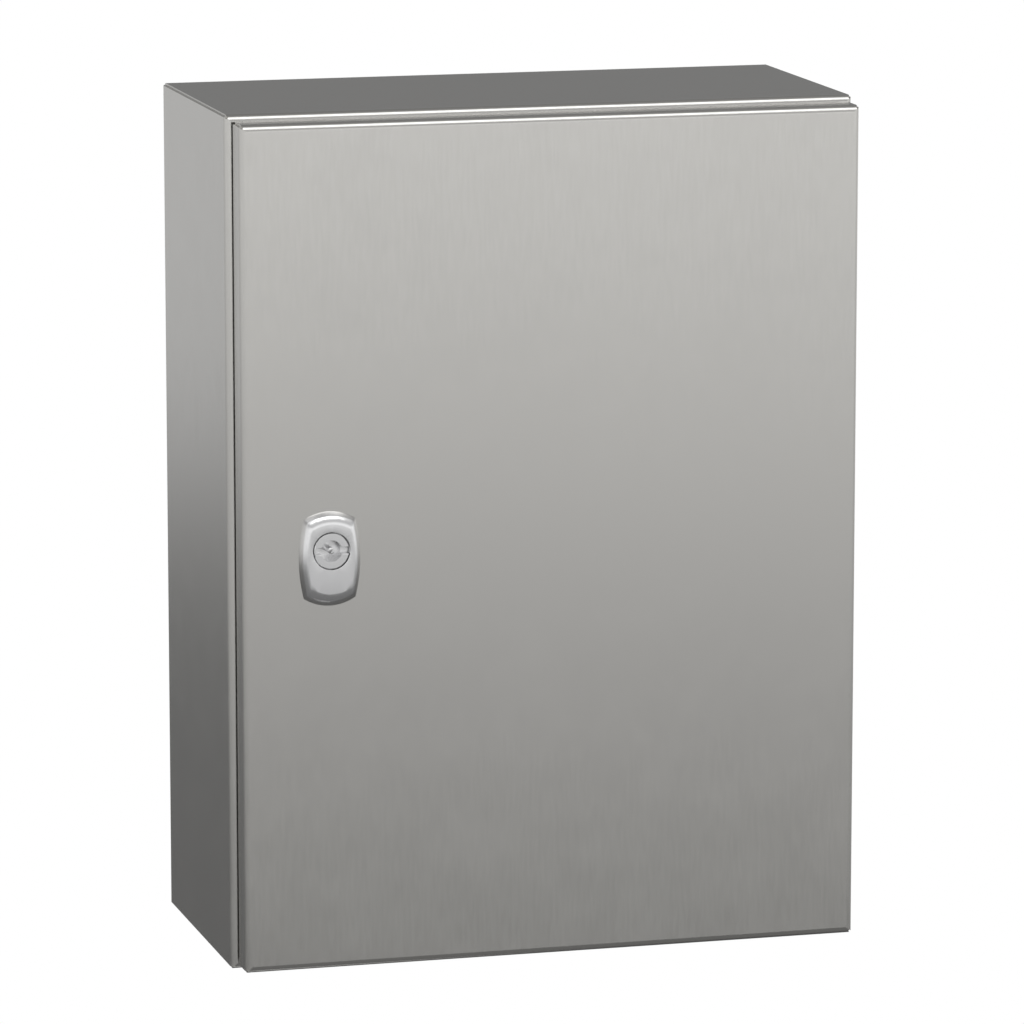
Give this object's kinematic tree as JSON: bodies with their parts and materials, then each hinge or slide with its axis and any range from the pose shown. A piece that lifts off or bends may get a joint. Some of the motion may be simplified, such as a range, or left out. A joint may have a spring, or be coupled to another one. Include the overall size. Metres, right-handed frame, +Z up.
{
  "type": "enclosed fused disconnect switch",
  "caption": "Wall-mounting stainless steel enclosure with a plain locked door, holding a fused disconnect switch with a turning handle and a hinged fuse cover.",
  "frame": {"origin": "middle of the four wall fixing holes, on the flat rear face", "axes": "+Z up, +Y into the wall, so the door faces -Y; +X to the right as seen from the front, on the hinges' side"},
  "size_m": [0.3, 0.1585, 0.4],
  "materials": {
    "stainless": "satin stainless steel sheet, fine vertical grain",
    "hinge_steel": "satin stainless steel",
    "zinc_steel": "zinc plated, clear passivated",
    "galvanised": "galvanised sheet, faint spangle",
    "lock_metal": "matt chromium plated zinc die casting",
    "seal_rubber": "matt black foam",
    "brass": "turned, plain",
    "copper": "copper strip, tin flashed at the clips",
    "base_plastic": "moulded thermoset, fine texture",
    "handle_plastic": "moulded, fine texture",
    "carrier_plastic": "moulded, natural",
    "clear_plastic": "clear smoked polycarbonate",
    "ceramic": "glazed ceramic",
    "fuse_cap_metal": "silver plated"
  },
  "bodies": {
    "enclosure": {"enclosure_body": "stainless", "hinge_body_leaves": "hinge_steel", "hinge_pins": "hinge_steel", "hinge_rim_screws": "zinc_steel", "hinge_rim_nuts": "zinc_steel", "gland_gasket": "seal_rubber", "gland_plate": "stainless", "gland_studs": "zinc_steel", "gland_nuts": "zinc_steel", "plate_studs": "zinc_steel", "mounting_plate": "galvanised", "plate_washers": "zinc_steel", "plate_nuts": "zinc_steel", "body_earth_stud": "zinc_steel", "body_earth_nut": "brass", "switch_base": "base_plastic", "switch_cover": "base_plastic", "switch_cover_screws": "zinc_steel", "switch_fixing_screws": "zinc_steel", "line_contacts": "copper", "upper_fuse_clips": "copper", "lower_fuse_clips": "copper", "terminal_plates": "zinc_steel", "terminal_screws": "zinc_steel", "fuse_tubes": "ceramic", "fuse_caps": "fuse_cap_metal", "fuse_cover_pin": "zinc_steel", "line_shroud": "clear_plastic", "load_shroud": "clear_plastic", "neutral_block": "base_plastic", "neutral_bar": "brass", "neutral_screws": "zinc_steel", "earth_bar": "copper", "earth_bar_supports": "base_plastic", "earth_bar_screws": "zinc_steel"},
    "door": {"door": "stainless", "door_gasket": "seal_rubber", "hinge_door_leaves": "hinge_steel", "hinge_door_studs": "zinc_steel", "hinge_door_nuts": "zinc_steel", "lock_housing": "lock_metal", "lock_gasket": "seal_rubber", "lock_nut": "lock_metal", "door_earth_stud": "zinc_steel", "door_earth_nut": "brass"},
    "lock": {"lock_insert": "lock_metal", "lock_cam": "zinc_steel", "lock_cam_washer": "zinc_steel", "lock_cam_screw": "zinc_steel"},
    "handle": {"handle": "handle_plastic", "handle_shaft": "zinc_steel"},
    "carrier": {"contact_carrier": "carrier_plastic", "bridge_contacts": "copper"},
    "fuse_cover": {"fuse_cover": "clear_plastic"}
  },
  "joints": [
    {"name": "door_hinge", "type": "hinge", "parent": "enclosure", "child": "door", "pos_m": [0.1434, -0.1415, 0], "axis": [0, 0, 1], "range_deg": [0, 110]},
    {"name": "lock_turn", "type": "hinge", "parent": "door", "child": "lock", "pos_m": [-0.10675, -0.154, 0.0006], "axis": [0, 1, 0], "range_deg": [0, 90]},
    {"name": "handle_turn", "type": "hinge", "parent": "enclosure", "child": "handle", "pos_m": [-0.054, -0.062, 0.03], "axis": [0, 1, 0], "range_deg": [0, 90]},
    {"name": "contact_lift", "type": "slide", "parent": "enclosure", "child": "carrier", "axis": [0, 0, 1], "range_m": [0, 0.01]},
    {"name": "fuse_cover_hinge", "type": "hinge", "parent": "enclosure", "child": "fuse_cover", "pos_m": [0.022, -0.052, -0.0655], "axis": [1, 0, 0], "range_deg": [0, 90]}
  ],
  "couplings": [
    {"joint": "contact_lift", "follows": "handle_turn", "m_per_rad": 0.006366}
  ]
}
